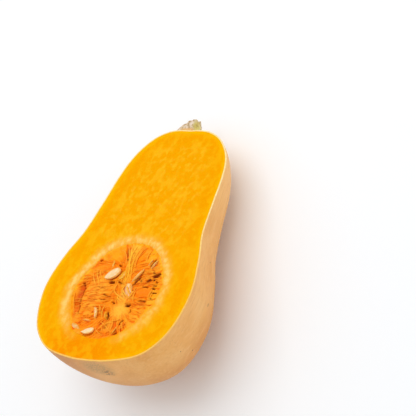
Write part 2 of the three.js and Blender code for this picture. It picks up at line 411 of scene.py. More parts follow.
rind = turned_body("squash_rind", 0.0, 190)
knife_cut(rind)
pick(rind)
wall = rind.modifiers.new("wall", "SOLIDIFY")
wall.thickness = RIND_THICKNESS * MM
wall.offset = -1.0
bpy.ops.object.modifier_apply(modifier=wall.name)
edge = rind.modifiers.new("edge", "BEVEL")
edge.width = RIND_EDGE * MM
edge.segments = 2
edge.limit_method = "ANGLE"
edge.angle_limit = math.radians(55.0)
bpy.ops.object.modifier_apply(modifier=edge.name)
print("rind of", RIND_THICKNESS, "mm,", len(rind.data.vertices), "corners")

# %% [markdown]
# The flesh
#
# The flesh starts as the same turned body, one rind smaller. Its open rim is then extruded again
# and again towards the seed cavity, each ring a step nearer, which lays the cut face as an even
# net of quads, and after the cavity's edge the rings go down and close the bowl. Filling the cut
# with one flat face would be quicker, but a knife leaves faint waves, and those need corners.

# %% Flesh
CAVITY_X, CAVITY_Y = -7.0, 61.0
CAVITY_ACROSS = 39.75
CAVITY_ALONG = 43.0
CAVITY_DEPTH = 39.5
FACE_RINGS = 54
BOWL_RINGS = 12

# Direction from the cavity's centre in degrees, then: how far the edge lies outside the oval, how
# far outside the edge the middle of the pale ring runs, how clear that ring is, and how wide.
CAVITY_ROUND = [
    (0, -0.8, 3.4, 0.8, 2.6), (30, -1.6, 3.6, 0.95, 3.0), (60, -0.4, 2.8, 1.0, 3.2),
    (90, -0.8, 2.6, 1.0, 3.4), (120, -1.2, 3.2, 1.0, 3.6), (150, -3.6, 4.0, 1.0, 3.4),
    (180, -0.4, 4.0, 1.0, 3.2), (215, 0.0, 5.0, 0.9, 3.4), (236, 2.8, 3.4, 0.2, 3.0),
    (255, 0.8, 3.0, 0.0, 2.4), (284, 0.0, 4.2, 0.0, 2.8), (300, -0.8, 4.2, 0.5, 3.4),
    (325, -2.0, 5.0, 0.5, 4.6), (345, -0.8, 4.0, 0.6, 3.4), (360, -0.8, 3.4, 0.8, 2.6),
]


def round_cavity(angle, column):
    """One column of the table above, eased from row to row, in each direction."""
    table = np.array(CAVITY_ROUND, float)
    degrees = np.degrees(angle) % 360.0
    row = np.searchsorted(table[:, 0], degrees, side="right") - 1
    row = np.clip(row, 0, len(table) - 2)
    part = smooth(degrees, table[row, 0], table[row + 1, 0])
    return table[row, column] * (1.0 - part) + table[row + 1, column] * part


def cavity_edge(angle):
    """Distance from the cavity's centre to its edge on the cut face, in each direction."""
    flat = math.sqrt(1.0 - (axis_z(CAVITY_Y) / CAVITY_DEPTH) ** 2)
    across = flat * CAVITY_ACROSS
    along = flat * CAVITY_ALONG
    oval = across * along / np.hypot(along * np.cos(angle), across * np.sin(angle))
    ragged = 0.5 * grain(4.0 + 7.5 * np.cos(angle), 4.0 + 7.5 * np.sin(angle), 11)
    return oval + round_cavity(angle, 1) + ragged


def from_cavity(x, y):
    """Angle and distance of points on the cut face, seen from the cavity's centre."""
    return np.arctan2(y - CAVITY_Y, x - CAVITY_X), np.hypot(x - CAVITY_X, y - CAVITY_Y)


def grain_round(angle):
    """Grain units round the cavity: two whole repeats of the grain, so that it closes."""
    return (angle + math.pi) / (2.0 * math.pi) * 2.0 * GRAIN_SIZE


def extrude_ring(body, place):
    """Extrudes the selected ring and moves each new corner to place(x, y), in millimetres."""
    bpy.ops.mesh.extrude_region_move(TRANSFORM_OT_translate={"value": (0, 0, 0)})
    net = bmesh.from_edit_mesh(body.data)
    for corner in net.verts:
        if corner.select:
            corner.co = Vector(place(corner.co.x / MM, corner.co.y / MM)) * MM
    bmesh.update_edit_mesh(body.data)


def towards_cavity(rings_left):
    """The next ring of the cut face: one equal step of those left, on the way to the cavity."""
    def place(x, y):
        angle, distance = from_cavity(x, y)
        nearer = distance + (cavity_edge(angle) - distance) / rings_left
        return (CAVITY_X + nearer * math.cos(angle), CAVITY_Y + nearer * math.sin(angle), 0.0)
    return place


def down_the_bowl(ring, rings):
    """The next ring of the cavity's wall, on a rounded bowl."""
    steep = 0.5 * math.pi * ring / rings
    depth = CAVITY_DEPTH - axis_z(CAVITY_Y)

    def place(x, y):
        angle, _ = from_cavity(x, y)
        distance = cavity_edge(angle) * max(math.cos(steep), 0.02)
        return (CAVITY_X + distance * math.cos(angle), CAVITY_Y + distance * math.sin(angle),
                -depth * math.sin(steep))
    return place


flesh = turned_body("squash_flesh", RIND_THICKNESS - 0.05, 150)
knife_cut(flesh)
pick(flesh)
bpy.ops.object.mode_set(mode="EDIT")
bpy.ops.mesh.select_mode(type="VERT")
bpy.ops.mesh.select_all(action="DESELECT")
bpy.ops.mesh.select_non_manifold()
for ring in range(FACE_RINGS):
    extrude_ring(flesh, towards_cavity(FACE_RINGS - ring))
for ring in range(1, BOWL_RINGS + 1):
    extrude_ring(flesh, down_the_bowl(ring, BOWL_RINGS))
bpy.ops.mesh.merge(type="CENTER")
bpy.ops.mesh.select_all(action="SELECT")
bpy.ops.mesh.normals_make_consistent(inside=False)
bpy.ops.object.mode_set(mode="OBJECT")
print("flesh:", len(flesh.data.vertices), "corners")

# %% [markdown]
# Knife marks, and numbers for the colours
#
# The face gets waves of a tenth of a millimetre, and its inner edge sinks softly where the flesh
# turns to strings. Numbers for the material are kept on every corner: how far it is from the rind,
# where the flesh is yellower, how far from the cavity, how near the pale ring that runs round the
# cavity, and the grain of the fibres, which all point at the cavity.

# %% Relief of the cut face


def distance_to(points, line):
    """Shortest distance from each point to a closed chain of corners."""
    best = np.full(len(points), 1e9)
    for here, there in zip(line, np.roll(line, -1, axis=0)):
        side = there - here
        part = ((points - here) @ side) / max(side @ side, 1e-9)
        foot = here + np.clip(part, 0.0, 1.0)[:, None] * side
        best = np.minimum(best, np.linalg.norm(points - foot, axis=1))
    return best


places = corners(flesh)
on_face = places[:, 2] > -0.001
angle, distance = from_cavity(places[:, 0], places[:, 1])
past_cavity = distance - cavity_edge(angle)
rim_angles = np.linspace(-math.pi, math.pi, 720, endpoint=False)
bins = np.digitize(angle[on_face], rim_angles) - 1
reach = np.zeros(len(rim_angles))
np.maximum.at(reach, bins, distance[on_face])
rim_angles = rim_angles[reach > 0]
reach = reach[reach > 0]
rim = np.stack([CAVITY_X + reach * np.cos(rim_angles), CAVITY_Y + reach * np.sin(rim_angles)], 1)
past_rind = distance_to(places[:, :2], rim)
waves = 0.10 * grain(places[:, 0] / 6.0 + 9.0, places[:, 1] / 9.0 + 9.0, 5)
waves += 0.05 * grain(places[:, 0] / 1.7 + 5.0, places[:, 1] / 2.6 + 5.0, 6)
settled = smooth(past_rind, 0.5, 5.0)
around = grain_round(angle)
fibres = grain(around, past_cavity / 7.0 + 8.0, 7)
fibres += 0.5 * grain(2.0 * around, past_cavity / 4.0 + 8.0, 8)
near_cavity = np.exp(-np.maximum(past_cavity, 0.0) / 4.0)
sunk = 0.55 * np.exp(-np.maximum(past_cavity, 0.0) / 1.4) + 0.16 * fibres * near_cavity
places[on_face, 2] += ((waves - 0.12) * settled - sunk)[on_face]
set_corners(flesh, places)
wander = 1.0 * grain(places[:, 0] / 5.0 + 9.0, places[:, 1] / 5.0 + 9.0, 9)
off_ring = (past_cavity - round_cavity(angle, 2) + wander) / round_cavity(angle, 4)
ring = np.exp(-np.abs(off_ring) ** 2.0) * round_cavity(angle, 3)
paint(flesh, "past_rind", past_rind)
paint(flesh, "past_cavity", past_cavity)
paint(flesh, "pale_ring", ring)
paint(flesh, "fibres", fibres)
print("cut face reaches", round(float(past_rind[on_face].max()), 1), "mm from the rind")

# %% [markdown]
# The form of the pulp
#
# Inside the cavity the strings grow out of a core that runs lengthwise between two points of the
# cut: sideways beside the core, and like a fan above and below it. Every string and every ridge
# follows that direction. Patches are the places that look different: smooth lobes where the
# strings are glued together, rough fields where they are loose. Clefts are the dark gaps.

# %% Patches and clefts of the pulp
CORE_TOP = np.array([-5.0, 80.0])
CORE_FOOT = np.array([1.0, 46.0])
PULP_LEVEL = -1.25
PULP_COLOUR = (252, 139, 2)

# Centre x and y, half width and half height, how stringy, how far raised, and the colour.
PULP_PATCHES = [
    (-20.5, 91.5, 9.0, 8.5, 0.2, 0.7, (254, 160, 10)),
    (-22.0, 81.5, 11.0, 4.0, 0.6, 0.0, (255, 134, 2)),
    (-10.8, 92.5, 2.2, 6.5, 0.9, -0.3, (240, 100, 0)),
    (-5.5, 95.0, 4.2, 10.0, 0.8, 0.3, (254, 200, 58)),
    (-3.0, 77.0, 3.6, 13.0, 0.9, 0.5, (254, 182, 32)),
    (4.8, 89.5, 4.0, 9.0, 0.4, 0.6, (255, 142, 0)),
    (12.5, 92.0, 4.5, 7.0, 0.6, 0.2, (254, 172, 16)),
    (20.0, 77.0, 7.0, 5.0, 1.0, -0.2, (253, 150, 16)),
    (17.2, 59.3, 6.6, 5.0, 0.1, 0.6, (248, 124, 0)),
    (26.5, 57.0, 3.4, 13.0, 0.9, 0.0, (253, 168, 18)),
    (0.0, 54.0, 5.0, 3.0, 0.9, 0.5, (254, 186, 40)),
    (3.5, 43.5, 7.5, 8.0, 0.2, 0.7, (253, 184, 54)),
    (3.0, 56.6, 4.6, 3.6, 0.9, 0.3, (254, 192, 76)),
    (20.0, 38.0, 10.0, 10.0, 0.9, 0.0, (253, 156, 22)),
    (0.0, 26.5, 13.0, 6.5, 1.1, -0.1, (249, 130, 0)),
    (-25.5, 58.0, 9.0, 17.0, 0.6, 0.5, (254, 164, 42)),
    (-12.0, 53.5, 5.0, 5.5, 1.1, 0.0, (246, 134, 4)),
    (-43.5, 50.0, 4.4, 15.0, 0.4, 0.2, (251, 144, 0)),
    (-39.0, 36.0, 4.6, 8.0, 0.4, 0.3, (252, 158, 0)),
    (-38.4, 56.5, 2.9, 11.5, 0.5, -0.6, (214, 74, 0)),
    (-35.8, 42.0, 2.4, 9.0, 0.6, -0.4, (232, 98, 0)),
    (-22.0, 32.5, 12.0, 4.0, 0.8, -0.1, (252, 134, 0)),
]

# Centre x and y, half length and half width, direction in degrees, and depth.
PULP_CLEFTS = [
    (-11.2, 94.2, 3.6, 0.7, 116, 1.3),
    (-8.9, 87.6, 1.1, 0.7, 120, 2.2),
    (-39.6, 64.9, 2.4, 0.65, 138, 2.2),
    (-36.9, 59.6, 2.6, 0.6, 94, 1.7),
    (-35.9, 51.5, 5.0, 0.5, 98, 1.4),
    (-34.0, 43.0, 5.0, 0.5, 104, 1.3),
    (-14.6, 67.4, 2.3, 0.9, 8, 3.4),
    (7.8, 69.2, 4.2, 0.9, 54, 2.8),
    (22.6, 74.8, 2.8, 1.4, 35, 4.2),
    (17.8, 70.2, 2.0, 1.1, 33, 4.0),
    (11.6, 69.2, 0.9, 0.9, 20, 3.0),
    (22.2, 71.0, 1.2, 0.8, 20, 2.8),
    (25.2, 69.0, 1.2, 0.7, -20, 2.6),
    (24.8, 66.0, 1.8, 0.6, 0, 2.8),
    (24.0, 63.2, 1.2, 0.6, -10, 2.4),
    (26.4, 59.4, 1.8, 0.6, 5, 2.6),
    (26.2, 54.0, 1.6, 0.6, -8, 2.2),
    (16.6, 64.2, 3.2, 0.45, -2, 2.2),
    (18.8, 52.4, 3.8, 0.5, 3, 2.4),
    (19.6, 77.2, 1.1, 0.8, 60, 2.8),
    (15.6, 85.4, 3.8, 0.7, 68, 3.0),
    (8.6, 47.9, 2.4, 1.0, -6, 3.4),
    (-5.2, 38.6, 3.4, 0.7, 112, 3.0),
    (8.2, 33.4, 2.6, 0.6, 62, 2.8),
    (5.2, 28.4, 1.4, 0.5, -50, 2.2),
    (6.4, 23.8, 1.8, 0.7, 62, 2.6),
    (-7.0, 67.2, 2.6, 0.6, -25, 2.2),
    (-5.6, 49.6, 1.6, 0.6, -25, 2.0),
    (-13.6, 82.6, 1.5, 0.6, 140, 2.2),
    (-14.5, 55.5, 4.2, 0.5, -16, 1.8),
    (-16.0, 51.6, 3.6, 0.5, -14, 1.8),
    (-22.0, 62.0, 5.0, 0.4, -8, 1.2),
    (-26.0, 52.0, 5.0, 0.4, -4, 1.2),
    (-23.0, 20.9, 9.0, 0.8, -16, 2.0),
    (-33.0, 86.0, 1.6, 0.6, 40, 1.6),
    (-44.6, 53.4, 1.2, 0.45, -62, 1.4),
    (-43.4, 41.8, 1.2, 0.5, -55, 1.4),
    (-3.4, 29.4, 2.0, 0.6, 70, 2.0),
    (12.0, 43.0, 2.0, 0.4, 80, 1.6),
]

# Places where a clean seed lies open and has pressed the pulp down.
CLEAN_SEEDS = [(-17.6, 73.9), (-17.4, 24.3)]
CLEAN_SEED_REACH = 5.0
CLEAN_SEED_DENT = 0.9


def along_core(x, y):
    """How far up the core a point lies, its distance from it, and the way the strings run there."""
    core = CORE_TOP - CORE_FOOT
    length = np.linalg.norm(core)
    up = core / length
    off_x, off_y = x - CORE_FOOT[0], y - CORE_FOOT[1]
    height = np.clip(off_x * up[0] + off_y * up[1], 0.0, length)
    side_x, side_y = off_x - height * up[0], off_y - height * up[1]
    distance = np.hypot(side_x, side_y)
    outward = smooth(distance, 1.5, 8.0)
    steady = np.maximum(distance, 0.5)
    lean_x = outward * side_x / steady + (1.0 - outward) * up[0]
    lean_y = outward * side_y / steady + (1.0 - outward) * up[1]
    size = np.maximum(np.hypot(lean_x, lean_y), 1e-6)
    return height, distance, lean_x / size, lean_y / size


def patch_weights(x, y):
    """How much each patch counts at a point; the plain pulp counts for what is left."""
    return [np.exp(-(((x - px) / half_x) ** 2 + ((y - py) / half_y) ** 2) ** 1.5)
            for px, py, half_x, half_y, _, _, _ in PULP_PATCHES]


def cleft_depth(x, y):
    """How deep the clefts go at a point."""
    x = x + 0.5 * grain(x / 1.6 + 30.0, y / 1.6 + 30.0, 25)
    y = y + 0.5 * grain(x / 1.6 + 50.0, y / 1.6 + 50.0, 26)
    deep = np.zeros_like(x)
    for px, py, half_length, half_width, degrees, depth in PULP_CLEFTS:
        lean = math.radians(degrees)
        along = (x - px) * math.cos(lean) + (y - py) * math.sin(lean)
        across = (y - py) * math.cos(lean) - (x - px) * math.sin(lean)
        cut = np.exp(-((along / half_length) ** 4 + (np.abs(across) / half_width) ** 2.5))
        deep = np.maximum(deep, depth * cut)
    return deep


def pulp_form(x, y):
    """Height of the pulp's surface, how stringy it is there, and how high its ridges stand."""
    stringy = np.ones_like(x)
    raised = np.zeros_like(x)
    for weight, patch in zip(patch_weights(x, y), PULP_PATCHES):
        stringy = stringy + weight * (patch[4] - stringy)
        raised = raised + weight * (patch[5] - raised)
    height, distance, lean_x, lean_y = along_core(x, y)
    core_x = x - distance * lean_x
    fan = np.arctan2(lean_y, np.abs(lean_x)) * 15.0
    across = height + fan + 1.1 * grain(x / 5.0 + 20.0, y / 5.0 + 20.0, 21)
    side = np.where(x > core_x, 17.0, 41.0)
    coarse = np.abs(grain(across / 1.5 + side, distance / 9.0 + 3.0, 22))
    fine = np.abs(grain(across / 0.75 + side, distance / 5.0 + 9.0, 23))
    ridges = coarse + 0.5 * fine
    level = PULP_LEVEL + raised + stringy * 1.6 * (np.sqrt(ridges) - 0.7)
    level += 0.45 * grain(x / 3.5 + 7.0, y / 3.5 + 7.0, 24)
    for px, py in CLEAN_SEEDS:
        level -= CLEAN_SEED_DENT * np.exp(-((x - px) ** 2 + (y - py) ** 2) / 30.0)
    return level - cleft_depth(x, y), stringy, ridges


print(len(PULP_PATCHES), "patches and", len(PULP_CLEFTS), "clefts")

# %% [markdown]
# The colour of the pulp
#
# The patches differ in colour as much as in form, and a paler ragged border follows the cavity's edge.
# Ridges get a painted highlight, the valleys between them painted shade, and the clefts a deep
# red-brown painted shade, because light is lost between wet walls. All this is worked out from the
# form and kept as a colour on each corner, because no pattern of a material knows where the ridges are.

# %% Colour of the pulp
CREST_HIGHLIGHT_COLOUR = (255, 198, 62)
VALLEY_SHADE_COLOUR = (238, 92, 0)
CLEFT_SHADE_COLOUR = (118, 10, 0)
BORDER_COLOUR = (252, 172, 14)


def linear(red, green, blue):
    """A screen colour from 0 to 255 as the light values that Blender counts in."""
    parts = np.array([red, green, blue]) / 255.0
    return np.where(parts <= 0.04045, parts / 12.92, ((parts + 0.055) / 1.055) ** 2.4)


def tint(colour, towards, amount):
    """Moves colours towards another one; amount goes from 0 to 1 for each corner."""
    return colour + np.clip(amount, 0.0, 1.0)[:, None] * (linear(*towards) - colour)


def pulp_colours(places, painted_highlight):
    """The colour of pulp at each place, light and shade painted in; painted_highlight is the highlight
    painted on a string on top.
    """
    x, y, z = places.T
    colour = np.tile(linear(*PULP_COLOUR), (len(x), 1))
    for weight, patch in zip(patch_weights(x, y), PULP_PATCHES):
        colour = tint(colour, patch[6], weight)
    angle, distance = from_cavity(x, y)
    inside = cavity_edge(angle) - distance
    spikes = 1.1 + 1.0 * grain(grain_round(angle), distance / 6.0, 27)
    border = 1.0 - smooth(inside, 0.4 * spikes, 1.6 * spikes)
    border *= np.minimum(1.0, round_cavity(angle, 3) + 0.15)
    colour = tint(colour, BORDER_COLOUR, border)
    _, stringy, ridges = pulp_form(x, y)
    # Painted shade in the valleys between ridges, a painted highlight on the crests and raised strings,
    # and deep red-brown painted shade in the clefts.
    colour = tint(colour, VALLEY_SHADE_COLOUR, 0.75 * stringy * (1.0 - smooth(ridges, 0.05, 0.42)))
    crest_highlight = 0.5 * np.minimum(stringy, 1.0) * np.clip(ridges - 0.4, 0.0, 1.0)
    colour = tint(colour, CREST_HIGHLIGHT_COLOUR, crest_highlight + painted_highlight)
    cleft_shade = np.clip(cleft_depth(x, y) / 2.4 - np.maximum(z + 1.4, 0.0) / 2.0, 0.0, 1.0)
    return np.clip(tint(colour, CLEFT_SHADE_COLOUR, cleft_shade), 0.0, 1.0)


def paint_colour(piece, name, colour):
    layer = piece.data.color_attributes.new(name, "FLOAT_COLOR", "POINT")
    layer.data.foreach_set("color", np.column_stack([colour, np.ones(len(colour))]).ravel())


print("pulp colours ready")

# %% [markdown]
# The bed of the pulp
#
# The bed is a fine grid with the faces outside the cavity deleted. Each corner is then lifted to
# the pulp's form. The grid's border is pushed a little into the flesh, so no slit opens there, and
# extruded down the bowl ring by ring, which closes the piece underneath.

# %% Bed of the pulp
BED_STEP = 0.40
BED_TUCK = 0.35
BED_ACROSS, BED_ALONG = 44.0, 46.0
BED_RIM_WIDTH, BED_RIM_DEPTH = 2.4, 0.75

start_clean()
bpy.ops.mesh.primitive_grid_add(x_subdivisions=int(2 * BED_ACROSS / BED_STEP),
                                y_subdivisions=int(2 * BED_ALONG / BED_STEP), size=2.0)
pulp = bpy.context.object
pulp.name = "squash_pulp"
places = corners(pulp) * MM * (BED_ACROSS, BED_ALONG, 0.0) + (CAVITY_X, CAVITY_Y, 0.0)
set_corners(pulp, places)
angle, distance = from_cavity(places[:, 0], places[:, 1])
outside = distance > cavity_edge(angle) + BED_TUCK
bpy.ops.object.mode_set(mode="EDIT")
bpy.ops.mesh.select_mode(type="VERT")
bpy.ops.mesh.select_all(action="DESELECT")
net = bmesh.from_edit_mesh(pulp.data)
for corner, out in zip(net.verts, outside):
    corner.select = bool(out)
bmesh.update_edit_mesh(pulp.data)
bpy.ops.mesh.delete(type="VERT")
bpy.ops.object.mode_set(mode="OBJECT")


def to_bed_border(x, y):
    """Moves a corner of the grid's stepped border onto the cavity's edge."""
    angle, _ = from_cavity(x, y)
    reach = cavity_edge(angle) + BED_TUCK
    return (CAVITY_X + reach * math.cos(angle), CAVITY_Y + reach * math.sin(angle), 0.0)


bpy.ops.object.mode_set(mode="EDIT")
bpy.ops.mesh.select_all(action="DESELECT")
bpy.ops.mesh.select_non_manifold()
extrude_ring(pulp, to_bed_border)
bpy.ops.object.mode_set(mode="OBJECT")
places = corners(pulp)
level, _, _ = pulp_form(places[:, 0], places[:, 1])
angle, distance = from_cavity(places[:, 0], places[:, 1])
inside = cavity_edge(angle) - distance
meets_flesh = 1.0 - smooth(inside, 0.0, BED_RIM_WIDTH)
places[:, 2] = level * (1.0 - meets_flesh) - BED_RIM_DEPTH * meets_flesh
set_corners(pulp, places)
bpy.ops.object.mode_set(mode="EDIT")
bpy.ops.mesh.select_all(action="DESELECT")
bpy.ops.mesh.select_non_manifold()
for ring in range(1, BOWL_RINGS + 1):
    extrude_ring(pulp, down_the_bowl(ring, BOWL_RINGS))
bpy.ops.mesh.merge(type="CENTER")
bpy.ops.mesh.select_all(action="SELECT")
bpy.ops.mesh.normals_make_consistent(inside=False)
bpy.ops.object.mode_set(mode="OBJECT")
paint_colour(pulp, "pulp_colour", pulp_colours(corners(pulp), 0.0))
print("bed of the pulp:", len(pulp.data.vertices), "corners")

# %% [markdown]
# The strings
#
# On top lie some hundreds of wet strings. One is modelled: a small disc extruded ring by ring.
# Each copy is then laid along a path, thinner towards its ends, which sink into the bed. Its crest
# has the colour of the pulp below it with a painted highlight, and its flanks are painted redder as
# shade. Hair would be quicker to comb, but it is lost when the model is exported.

# %% Model of a string
STRING_RINGS = 10
STRING_SIDES = 5
STRING_SUNK = 0.35
FLANK_PAINTED_SHADE = 0.7

start_clean()
bpy.ops.mesh.primitive_circle_add(vertices=STRING_SIDES, radius=1.0, fill_type="NGON")
string_model = bpy.context.object
string_model.name = "string_model"
bpy.ops.object.mode_set(mode="EDIT")
bpy.ops.mesh.select_all(action="SELECT")
for ring in range(STRING_RINGS):
    bpy.ops.mesh.extrude_region_move(TRANSFORM_OT_translate={"value": (0, 0, 1)})
bpy.ops.mesh.select_all(action="SELECT")
bpy.ops.mesh.normals_make_consistent(inside=False)
bpy.ops.object.mode_set(mode="OBJECT")
string_shape = corners(string_model) * MM
string_ring = np.rint(string_shape[:, 2]).astype(int)
string_part = np.linspace(0.0, 1.0, STRING_RINGS + 1)
strings = []


def lay_string(spots, radius, lift, painted_highlight):
    """A copy of the string along a flat path: it arches over the bed, and its ends sink into it."""
    level, _, _ = pulp_form(spots[:, 0], spots[:, 1])
    level = np.maximum(level, PULP_LEVEL - 0.6)
    level = 0.4 * level + 0.3 * (np.roll(level, 1) + np.roll(level, -1))
    arch = np.sin(np.pi * string_part)
    path = np.column_stack([spots, level + lift * arch - STRING_SUNK * (1.0 - arch)])
    ahead = np.gradient(path, axis=0)
    ahead /= np.linalg.norm(ahead, axis=1)[:, None]
    side = np.cross(ahead, (0.0, 0.0, 1.0))
    side /= np.linalg.norm(side, axis=1)[:, None]
    upward = np.cross(side, ahead)
    reach = (radius * (0.4 + 0.6 * arch ** 0.6))[string_ring, None]
    string = string_model.copy()
    string.data = string_model.data.copy()
    bpy.context.collection.objects.link(string)
    set_corners(string, path[string_ring]
                + reach * string_shape[:, :1] * side[string_ring]
                + reach * string_shape[:, 1:2] * upward[string_ring])
    # The string's flanks are tinted redder as painted shade.
    flank_shade = np.clip(0.5 - string_shape[:, 1] * np.sign(upward[0, 2]), 0.0, 1.0)
    colour = tint(pulp_colours(corners(string), painted_highlight), VALLEY_SHADE_COLOUR, FLANK_PAINTED_SHADE * flank_shade)
    paint_colour(string, "pulp_colour", colour)
    strings.append(string)


print("one string has", len(string_model.data.polygons), "faces")

# %% [markdown]
# The main strings
#
# These are the strings that the eye picks out: the bundle in the core, a few that arch freely
# beside it, and long ones towards the sides and the foot of the cavity. Each follows a smooth curve
# through points given in the table, and the higher it arches, the more highlight is painted on it.

# %% Main strings
# Radius, how high it arches over the bed, then the points that the string passes over.
MAIN_STRINGS = [
    (0.75, 0.7, (-11, 73), (-8.8, 66), (-9, 60), (-5, 56.5), (-1, 54.5), (3, 52)),
    (0.60, 0.7, (-12, 70), (-10, 64), (-10.5, 59), (-13, 55)),
    (0.80, 0.7, (-4, 103), (-6.5, 94), (-5.5, 85), (-2.5, 77), (-2, 68)),
    (0.65, 0.7, (0, 102), (-2.5, 92), (-2, 82), (0, 74), (0.5, 68)),
    (0.70, 0.7, (-12, 102), (-8.5, 97), (-6.5, 90), (-6, 84)),
    (0.55, 0.7, (-15, 101), (-11.5, 97), (-8.5, 91), (-7, 84)),
    (0.60, 0.7, (5, 102), (1.5, 95), (0, 86), (1, 78)),
    (0.55, 1.8, (3, 68), (-0.5, 63), (0.5, 57), (4, 54)),
    (0.50, 1.4, (8, 64), (9.6, 60), (8, 55), (4.5, 53)),
    (0.50, 2.0, (0, 66), (2.6, 62), (5.4, 58.6), (8.5, 55)),
    (0.45, 2.0, (2.6, 67), (4.6, 63.4), (7, 60.4), (9, 57)),
    (0.45, 1.9, (-1.6, 62), (1, 58.6), (4, 55.6), (7, 53.5)),
    (0.60, 0.7, (9, 84), (8.8, 92), (10, 98)),
    (0.55, 0.7, (22.5, 66), (23.5, 62), (23.3, 57), (24, 53)),
    (0.45, 0.7, (25, 63), (25.2, 59), (25, 55), (25.6, 51)),
    (0.60, 0.7, (10.6, 64), (10.4, 58), (11, 53), (13, 49)),
    (0.50, 1.8, (-12, 47.5), (-11, 42), (-10, 36)),
    (0.45, 1.8, (-17.5, 47), (-14, 44), (-12, 38)),
    (0.60, 0.7, (-36, 77), (-33, 71), (-28.5, 65), (-26, 61)),
    (0.55, 0.7, (-33, 79), (-30, 72), (-26, 67), (-24, 62)),
    (0.50, 0.7, (-30, 79), (-27, 73), (-23, 68)),
    (0.55, 0.7, (-44, 60), (-42.5, 52), (-39, 44), (-37, 38)),
    (0.50, 0.7, (-46, 55), (-43.5, 47), (-40.5, 40), (-38.5, 35)),
    (0.60, 0.7, (-9, 28), (-3, 31.5), (4, 33.5)),
    (0.55, 0.7, (-11, 34), (-4, 30), (4, 24)),
    (0.50, 0.7, (0, 37), (2.6, 30), (1, 23)),
    (0.50, 0.7, (-6, 36), (-2, 33.5), (5, 35), (9, 38)),
    (0.45, 0.7, (-13, 29), (-8, 24), (-2, 22)),
    (0.50, 0.7, (12, 24), (9.6, 28), (10, 33)),
    (0.60, 0.7, (-5, 56), (-1.5, 52.5), (3, 50)),
    (0.55, 0.7, (-3, 58.5), (1, 55.8), (4.5, 52.6)),
]

for radius, lift, *points in MAIN_STRINGS:
    fine = curve_through(points, 8)
    walked = np.concatenate([[0.0], np.cumsum(np.linalg.norm(np.diff(fine, axis=0), axis=1))])
    stops = string_part * walked[-1]
    spots = np.column_stack([np.interp(stops, walked, fine[:, 0]), np.interp(stops, walked, fine[:, 1])])
    # The higher a string arches, the stronger the highlight painted on it.
    lay_string(spots, radius, lift, 0.15 + 0.25 * lift)
print(len(strings), "main strings")

# %% [markdown]
# The loose strings
#
# The others start at random places and follow the direction of the pulp, each with a turn and a
# curl of its own. Few are laid where the pulp is smooth, and none over the middle of a clean seed.
# The random draws have a fixed seed, so the pulp comes out the same each time.

# %% Loose strings
STRING_COUNT = 560
dice = np.random.RandomState(7)


def drift(start, length, turn, curl):
    """Steps along the pulp's direction from a start; turn and curl make each string its own."""
    spots = [np.array(start)]
    for part in string_part[1:]:
        x, y = spots[-1]
        _, _, lean_x, lean_y = along_core(np.array(x), np.array(y))
        heading = math.atan2(float(lean_y), float(lean_x)) + turn + curl * (part - 0.5)
        spots.append(spots[-1] + length / STRING_RINGS * np.array([math.cos(heading), math.sin(heading)]))
    return np.array(spots)


while len(strings) < STRING_COUNT:
    angle = dice.uniform(-math.pi, math.pi)
    reach = math.sqrt(dice.uniform(0.0, 0.88)) * cavity_edge(angle)
    start = (CAVITY_X + reach * math.cos(angle), CAVITY_Y + reach * math.sin(angle))
    crossing = dice.normal(0.0, 0.17) + dice.normal(0.0, 0.6) * (1.0 - smooth(start[1], 32.0, 42.0))
    spots = drift(start, dice.uniform(4.5, 14.0), crossing, dice.normal(0.0, 0.6))
    # Each loose string gets a painted highlight of random strength.
    radius, lift, painted_highlight = dice.uniform(0.18, 0.44), dice.uniform(0.0, 0.7), dice.uniform(0.0, 0.4)
    angles, distances = from_cavity(spots[:, 0], spots[:, 1])
    _, stringy, _ = pulp_form(spots[:, 0], spots[:, 1])
    inside = np.all(distances < cavity_edge(angles) - 0.2)
    for seed_x, seed_y in CLEAN_SEEDS:
        away = np.hypot(spots[:, 0] - seed_x, spots[:, 1] - seed_y)
        inside = inside and np.all(away > CLEAN_SEED_REACH)
    if inside and dice.uniform(0.0, 1.0) < float(np.min(stringy)) ** 2:
        lay_string(spots, radius, lift, painted_highlight)
bpy.data.objects.remove(string_model)
start_clean()
for string in strings:
    string.select_set(True)
pulp.select_set(True)
bpy.context.view_layer.objects.active = pulp
bpy.ops.object.join()
print("pulp with", len(strings), "strings:", len(pulp.data.polygons), "faces")

# %% [markdown]
# The seeds
#
# A squash seed is a flat drop with a plump middle and a thin raised margin. One is shaped from a
# round ball of faces by formula and copied thirteen times. Each copy lies within three millimetres
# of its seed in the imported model, and most within one, with its own heading, roll on its edge and
# dip of its point. Clean seeds are cream and those still wrapped in pulp are tan, so each keeps a
# number for its stain.

# %% Seeds
SEED_LENGTH, SEED_WIDTH, SEED_THICKNESS = 15.0, 8.4, 2.7

# Centre x, y and z, heading of the pointed end, roll and dip in degrees, scale, and stain.
SEED_PLACES = [
    (-17.6, 73.9, -1.0, 207, 12, 6, 1.12, 0.15),
    (-22.4, 81.4, -3.1, 250, 30, 20, 0.76, 0.95),
    (-7.4, 74.6, -1.3, 80, -14, 8, 0.70, 1.2),
    (6.0, 73.4, -1.3, 238, 44, 3, 0.98, 0.55),
    (3.2, 60.6, -1.2, 296, 6, 4, 0.86, 0.45),
    (16.4, 83.0, -1.9, 236, 62, 14, 0.72, 0.5),
    (12.2, 85.0, -2.2, 238, 60, 20, 0.56, 0.65),
    (-18.2, 40.9, -1.4, 120, -40, 6, 0.82, 0.5),
    (-22.8, 33.8, -1.8, 176, 72, 5, 0.62, 0.7),
    (-17.4, 24.3, -0.7, 191, 22, 3, 0.80, 0.0),
    (-29.0, 26.6, -1.7, 338, 46, 8, 0.72, 0.75),
    (-7.4, 39.8, -2.8, 108, 76, 12, 0.62, 1.2),
    (4.6, 26.1, -2.3, 242, 56, 12, 0.60, 0.9),
]


